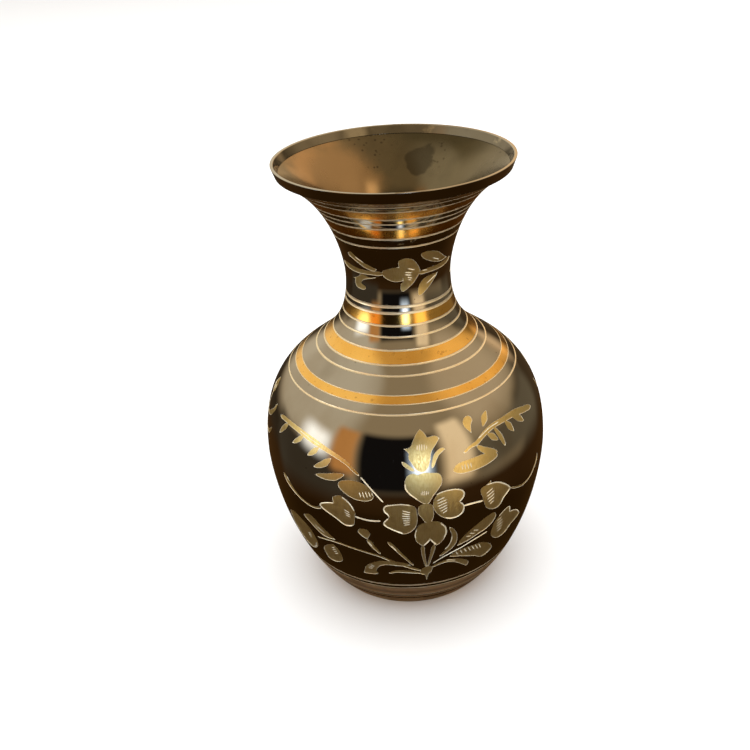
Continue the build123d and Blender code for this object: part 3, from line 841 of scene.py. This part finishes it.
class Shader:
    """A metal made of nodes, in object space."""

    def __init__(self, name, color, roughness, metallic=1.0):
        self.material = bpy.data.materials.new(name)
        self.material.use_nodes = True
        self.tree = self.material.node_tree
        self.surface = self.tree.nodes["Principled BSDF"]
        self.surface.inputs["Metallic"].default_value = metallic
        self.surface.inputs["Base Color"].default_value = (*color, 1)
        self.surface.inputs["Roughness"].default_value = roughness
        self.place = self.node("ShaderNodeTexCoord").outputs["Object"]
        self.height = None

    def node(self, kind, inputs=(), **settings):
        """Adds a node; an input is a number or another node's output."""
        made = self.tree.nodes.new(kind)
        for name, value in settings.items():
            setattr(made, name, value)
        for name, value in dict(inputs).items():
            if isinstance(value, bpy.types.NodeSocket):
                self.tree.links.new(value, made.inputs[name])
            else:
                made.inputs[name].default_value = value
        return made

    def math(self, operation, a, b=0.0, c=0.0):
        return self.node("ShaderNodeMath", {0: a, 1: b, 2: c}, operation=operation).outputs[0]

    def turned_place(self):
        """Coordinates that only change with radius and height, for marks left by turning."""
        split = self.node("ShaderNodeSeparateXYZ", {0: self.place})
        x, y, z = (split.outputs[i] for i in range(3))
        square = self.math("ADD", self.math("MULTIPLY", x, x), self.math("MULTIPLY", y, y))
        radius = self.math("SQRT", square)
        return self.node("ShaderNodeCombineXYZ", {0: radius, 2: z}).outputs[0]

    def noise(self, per_metre, detail=2.0, place=None, stretch=(1, 1, 1), roughness=0.5):
        """Noise from 0 to 1."""
        mapping = self.node("ShaderNodeMapping", {0: place or self.place, "Scale": stretch})
        place = mapping.outputs[0]
        return self.node("ShaderNodeTexNoise", {
            "Vector": place, "Scale": per_metre, "Detail": detail, "Roughness": roughness,
        }).outputs["Fac"]

    def away_from(self, point):
        """Distance from a point in object space."""
        return self.node("ShaderNodeVectorMath", {0: self.place, 1: point},
                         operation="DISTANCE").outputs["Value"]

    def spread(self, value, low, high, to_low=0.0, to_high=1.0):
        """Value from low to high, eased to the new range."""
        return self.node("ShaderNodeMapRange", {
            "Value": value, "From Min": low, "From Max": high, "To Min": to_low, "To Max": to_high,
        }, interpolation_type="SMOOTHSTEP").outputs["Result"]

    def tint(self, share, color):
        """Blends the colour towards another by a share."""
        mix = self.node("ShaderNodeMix", {0: share, 7: (*color, 1)}, data_type="RGBA")
        base = self.surface.inputs["Base Color"]
        if base.is_linked:
            self.tree.links.new(base.links[0].from_socket, mix.inputs[6])
        else:
            mix.inputs[6].default_value = base.default_value
        self.tree.links.new(mix.outputs[2], base)

    def blotch(self, color, share, low, high, *noise, **kind):
        """Patches of another colour, where the noise is high."""
        self.tint(self.spread(self.noise(*noise, **kind), low, high, 0, share), color)

    def specks(self, color, per_metre, outer, inner, where):
        """Round specks of another colour, only in some places."""
        spots = self.node("ShaderNodeTexVoronoi", {"Vector": self.place, "Scale": per_metre})
        spot = self.spread(spots.outputs["Distance"], outer, inner)
        self.tint(self.math("MULTIPLY", spot, where), color)

    def roughen(self, value):
        """Drives the roughness."""
        self.tree.links.new(value, self.surface.inputs["Roughness"])

    def uneven(self, low, high, *noise):
        """Roughness that wanders between two values."""
        self.roughen(self.spread(self.noise(*noise), 0.3, 0.7, low, high))

    def bump(self, value, millimetres):
        """Adds relief of that height."""
        inputs = {"Strength": 1.0, "Distance": millimetres * MM, "Height": value}
        if self.height is not None:
            inputs["Normal"] = self.height
        self.height = self.node("ShaderNodeBump", inputs).outputs[0]
        self.tree.links.new(self.height, self.surface.inputs["Normal"])


def black_finish():
    """Black nickel over polished brass."""
    s = Shader("black_nickel", (0.40, 0.385, 0.36), 0.06)
    s.blotch((0.34, 0.31, 0.27), 1, 0.42, 0.75, 38, 4, stretch=(1, 1, 0.6))
    s.specks((0.16, 0.13, 0.10), 260, 0.10, 0.06, s.spread(s.noise(90, 1), 0.60, 0.66))
    haze = s.spread(s.noise(55, 5, roughness=0.65), 0.45, 0.8, 0.03, 0.10)
    scratch = s.spread(s.noise(700, 2, stretch=(1, 0.05, 0.4)), 0.66, 0.74, 0.0, 0.10)
    s.roughen(s.math("ADD", haze, scratch))
    s.bump(s.noise(42, 1), 0.06)
    s.bump(s.noise(1500, 1, s.turned_place()), 0.0005)
    return s.material


def gilt_finish():
    """Gold lacquer on the turned bands."""
    s = Shader("gilt_band", (0.92, 0.58, 0.17), 0.18)
    s.blotch((0.84, 0.48, 0.11), 0.8, 0.4, 0.7, 70, 4)
    s.blotch((0.55, 0.30, 0.08), 0.6, 0.62, 0.72, 420, 2)
    s.uneven(0.12, 0.25, 120, 3)
    s.bump(s.noise(2600, 2, s.turned_place()), 0.001)
    s.bump(s.noise(60, 1), 0.05)
    return s.material


def line_finish():
    """Bare brass at the bottom of a turned line."""
    s = Shader("turned_line", (0.95, 0.85, 0.64), 0.42, 0.85)
    s.blotch((0.86, 0.66, 0.42), 0.6, 0.45, 0.75, 120, 3)
    s.uneven(0.36, 0.50, 300, 2)
    return s.material


def scraped_finish():
    """Floor of the engraving, scraped through to the brass in fine strokes."""
    s = Shader("scraped_brass", (0.80, 0.64, 0.29), 0.36, 0.94)
    strokes = s.noise(2300, 2, stretch=(1, 1, 0.14))
    s.tint(s.spread(strokes, 0.35, 0.7, 0, 0.5), (0.68, 0.52, 0.20))
    s.blotch((0.58, 0.43, 0.17), 0.6, 0.5, 0.8, 220, 3)
    s.roughen(s.spread(strokes, 0.3, 0.7, 0.28, 0.44))
    s.bump(strokes, 0.010)
    return s.material


def cut_finish():
    """Fresh brass on sloping edges and in the fine cuts."""
    s = Shader("bright_cut", (0.98, 0.92, 0.74), 0.42, 0.6)
    s.blotch((0.88, 0.74, 0.48), 0.5, 0.5, 0.75, 500, 2)
    s.uneven(0.36, 0.50, 900, 1)
    return s.material


# Middles of a painted reflection and a darker spot on the inside of the mouth, in metres.
PAINTED_REFLECTION_SPOT = (-0.025, 0.018, 0.182)
DARK_SPOT = (0.0125, 0.034, 0.1872)


def satin_finish():
    """Tarnished satin inside of the funnel, with a painted reflection as a lighter copper patch at
    one side and a darker spot.
    """
    s = Shader("satin_inside", (0.175, 0.150, 0.102), 0.22)
    s.blotch((0.125, 0.108, 0.074), 0.9, 0.40, 0.62, 24, 4, roughness=0.6)
    # painted reflection: a lighter copper patch with a ragged edge on one side of the funnel
    reflection_reach = s.math("MULTIPLY_ADD", s.noise(70, 3), 0.016, s.away_from(PAINTED_REFLECTION_SPOT))
    s.tint(s.spread(reflection_reach, 0.037, 0.026, 0, 0.85), (0.36, 0.245, 0.14))
    # a darker spot with a blurred edge on the funnel wall
    spot_reach = s.math("MULTIPLY_ADD", s.noise(110, 2), 0.012, s.away_from(DARK_SPOT))
    s.tint(s.spread(spot_reach, 0.0140, 0.0122, 0, 0.75), (0.062, 0.053, 0.037))
    s.specks((0.06, 0.05, 0.035), 420, 0.30, 0.16, s.spread(s.noise(60, 2), 0.58, 0.64, 0, 0.7))
    s.roughen(s.spread(s.noise(60, 4), 0.3, 0.75, 0.16, 0.34))
    s.bump(s.noise(1900, 2, s.turned_place()), 0.0015)
    s.bump(s.noise(90, 2), 0.03)
    return s.material


def smoked_finish():
    """Machined band inside the lip, gone dark."""
    s = Shader("smoked_band", (0.20, 0.185, 0.155), 0.10)
    s.blotch((0.13, 0.115, 0.09), 0.8, 0.45, 0.7, 60, 3)
    s.blotch((0.42, 0.38, 0.30), 0.7, 0.60, 0.72, 150, 3)
    s.uneven(0.07, 0.2, 160, 3)
    s.bump(s.noise(3000, 1, s.turned_place()), 0.001)
    return s.material


def dull_finish():
    """Unlacquered turned bands at the foot."""
    s = Shader("dull_band", (0.66, 0.46, 0.27), 0.48, 0.88)
    s.blotch((0.36, 0.23, 0.12), 0.85, 0.44, 0.58, 420, 2, s.turned_place())
    s.blotch((0.30, 0.20, 0.11), 0.7, 0.5, 0.75, 130, 4)
    s.uneven(0.4, 0.56, 160, 3)
    s.bump(s.noise(1500, 2, s.turned_place()), 0.004)
    return s.material


def raw_finish():
    """Spun brass that was never coated, dulled with age."""
    s = Shader("raw_brass", (0.72, 0.54, 0.27), 0.42)
    s.blotch((0.46, 0.33, 0.17), 0.8, 0.4, 0.65, 45, 5, roughness=0.6)
    s.blotch((0.25, 0.20, 0.13), 0.7, 0.60, 0.72, 240, 3)
    s.uneven(0.34, 0.58, 80, 4)
    s.bump(s.noise(1400, 3, s.turned_place()), 0.006)
    return s.material


def solder_finish():
    """Soft solder, dull and a little lumpy."""
    s = Shader("soft_solder", (0.56, 0.55, 0.52), 0.42)
    s.blotch((0.36, 0.34, 0.31), 0.8, 0.4, 0.7, 180, 4)
    s.uneven(0.34, 0.6, 260, 3)
    s.bump(s.noise(420, 3), 0.06)
    return s.material


finishes = {
    BLACK: black_finish(), GILT: gilt_finish(), LINE: line_finish(), SCRAPED: scraped_finish(),
    CUT: cut_finish(), SATIN: satin_finish(), SMOKED: smoked_finish(), DULL: dull_finish(),
    RAW: raw_finish(),
}
solder = {RAW: solder_finish()}

pieces = (
    (lower, "lower_shell", finishes, "lower_body", "shell"),
    (upper, "upper_shell", finishes, "upper_body", "shell"),
    (neck, "neck_shell", finishes, "mouth_and_neck", "shell"),
    (seam_solder(belly_height), "belly_joint", solder, "belly_solder", "solder"),
    (seam_solder(neck_seam), "neck_joint", solder, "neck_solder", "solder"),
)
for relief, name, materials, node, slot in pieces:
    piece = relief.build(name, materials)
    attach(piece, "root")
    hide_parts(node)
for node, material in (("base_disc", finishes[RAW]), ("base_solder", solder[RAW])):
    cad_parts[node].data.materials.clear()
    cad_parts[node].data.materials.append(material)

# ---- floor, light and camera

FLOOR_REACH = 6         # metres each way
floor_signs = ((-1, -1), (1, -1), (1, 1), (-1, 1))
floor_ring = [(x * FLOOR_REACH, y * FLOOR_REACH, 0) for x, y in floor_signs]
floor_mesh = bpy.data.meshes.new("floor")
floor_mesh.from_pydata(floor_ring, [], [(0, 1, 2, 3)])
floor = put("floor", floor_mesh)
floor.visible_glossy = False
paper = bpy.data.materials.new("pale_floor")
paper.use_nodes = True
paper_inputs = paper.node_tree.nodes["Principled BSDF"].inputs
paper_inputs["Base Color"].default_value = (0.86, 0.86, 0.86, 1)
paper_inputs["Roughness"].default_value = 0.9
floor_mesh.materials.append(paper)


class Sky(Shader):
    """A studio for polished metal: a plain soft light with soft cards, placed by direction."""

    def __init__(self):
        self.world = bpy.data.worlds.new("studio")
        bpy.context.scene.world = self.world
        self.world.use_nodes = True
        self.tree = self.world.node_tree
        self.tree.nodes.clear()
        place = self.node("ShaderNodeTexCoord").outputs["Generated"]
        split = self.node("ShaderNodeSeparateXYZ", {0: place})
        x, y, z = (split.outputs[i] for i in range(3))
        self.around = self.math("DEGREES", self.math("ARCTAN2", x, self.math("MULTIPLY", y, -1)))
        self.above = self.math("DEGREES", self.math("ARCSINE", z))
        self.color = None

    def base(self, color):
        self.color = self.node("ShaderNodeRGB").outputs[0]
        self.color.default_value = (*color, 1)

    def between(self, value, low, high, soft):
        """1 between two values and 0 outside them, with soft edges."""
        rise, fall = (self.spread(value, at - soft, at + soft) for at in (low, high))
        return self.math("SUBTRACT", rise, fall)

    def patch(self, around, above, color, soft):
        """Blends a soft card in, between two bearings and two elevations."""
        share = self.between(self.above, *above, soft)
        if around:
            share = self.math("MULTIPLY", share, self.between(self.around, *around, soft))
        layers = {0: share, 6: self.color, 7: (*color, 1)}
        self.color = self.node("ShaderNodeMix", layers, data_type="RGBA").outputs[2]

    def finish(self, seen):
        """The camera sees plain pale light; the polished metal also sees the cards."""
        cards = self.node("ShaderNodeBackground", {"Color": self.color})
        plain = self.node("ShaderNodeBackground", {"Color": (*seen, 1)})
        path = self.node("ShaderNodeLightPath").outputs
        share = self.math("MAXIMUM", path["Is Camera Ray"], path["Is Diffuse Ray"])
        layers = {0: share, 1: cards.outputs[0], 2: plain.outputs[0]}
        both = self.node("ShaderNodeMixShader", layers)
        self.node("ShaderNodeOutputWorld", {0: both.outputs[0]})


# Bearings, elevations, colour and softness of each card, which is laid over the ones before.
CARDS = (
    ((-190, -50), (-2, 72), (0.98, 0.83, 0.58), 14),  # key side
    ((60, 150), (20, 70), (0.90, 0.66, 0.38), 14),  # warm fill
    ((-215, -118), (38, 82), (0.42, 0.33, 0.18), 9),  # shade above, behind left
    ((105, 260), (-100, 12), (0.09, 0.055, 0.025), 8),  # dark behind the vase
    ((-190, -112), (-100, -6), (0.055, 0.037, 0.02), 8),
    ((140, 176), (5, 60), (1.25, 0.84, 0.44), 6),  # warm reflector
    (None, (-100, -24), (0.066, 0.029, 0.008), 5),  # dark below
    (None, (-100, -38), (0.037, 0.016, 0.003), 8),
    ((-120, -46), (-32, -3), (0.085, 0.066, 0.042), 6),  # dark card, left
    ((56, 135), (-22, 8), (0.22, 0.17, 0.10), 7),  # dark card, right
    ((-88, -64), (-6, 17), (2.8, 2.8, 2.65), 8),  # soft box, left
    ((-60, -40), (-14, 32), (1.00, 0.44, 0.12), 5),  # warm strip, left
    ((-38, 24), (-26, 33), (0.012, 0.010, 0.009), 5),  # dark card, front
    ((30, 52), (-20, 42), (1.75, 1.30, 0.74), 5),  # warm strip, right
    ((3, 19), (-16, 16), (1.5, 1.8, 2.1), 5),  # small soft box, front
    ((7, 15), (-8, 9), (5.5, 5.8, 6.2), 4),
)
sky = Sky()
sky.base((0.54, 0.39, 0.21))
for around, above, color, soft in CARDS:
    sky.patch(around, above, color, soft)
sky.finish((0.9, 0.9, 0.9))

overhead = bpy.data.lights.new("overhead", "AREA")
overhead.shape = "DISK"
overhead.size = 3.0
overhead.energy = 60.0
overhead_lamp = put("overhead", overhead)
overhead_lamp.location = (0, 0, 2.4)
overhead_lamp.visible_glossy = False
overhead_lamp.visible_camera = False

bpy.context.scene.view_settings.view_transform = "Standard"

# The camera stands 0.35 m in front of the axis, about 0.3 m up, and looks down at the vase.
CAMERA_PLACE = (0, -0.3548, 0.2996)
FOCAL_LENGTH = 43.32
PITCH, YAW, ROLL = 29.32, -1.998, -3.485
pitch, yaw, roll = (math.radians(angle) for angle in (PITCH, YAW, ROLL))
ahead = math.cos(pitch)
forward = Vector((ahead * math.sin(yaw), ahead * math.cos(yaw), -math.sin(pitch)))
level = Vector((math.cos(yaw), -math.sin(yaw), 0))
upright = level.cross(forward)
right = math.cos(roll) * level + math.sin(roll) * upright
above = math.cos(roll) * upright - math.sin(roll) * level
lens = bpy.data.cameras.new("camera")
lens.sensor_width = 36.0
lens.lens = FOCAL_LENGTH
camera = put("camera", lens)
turned = Matrix((right, above, -forward)).transposed().to_4x4()
camera.matrix_world = Matrix.Translation(CAMERA_PLACE) @ turned
bpy.context.scene.camera = camera
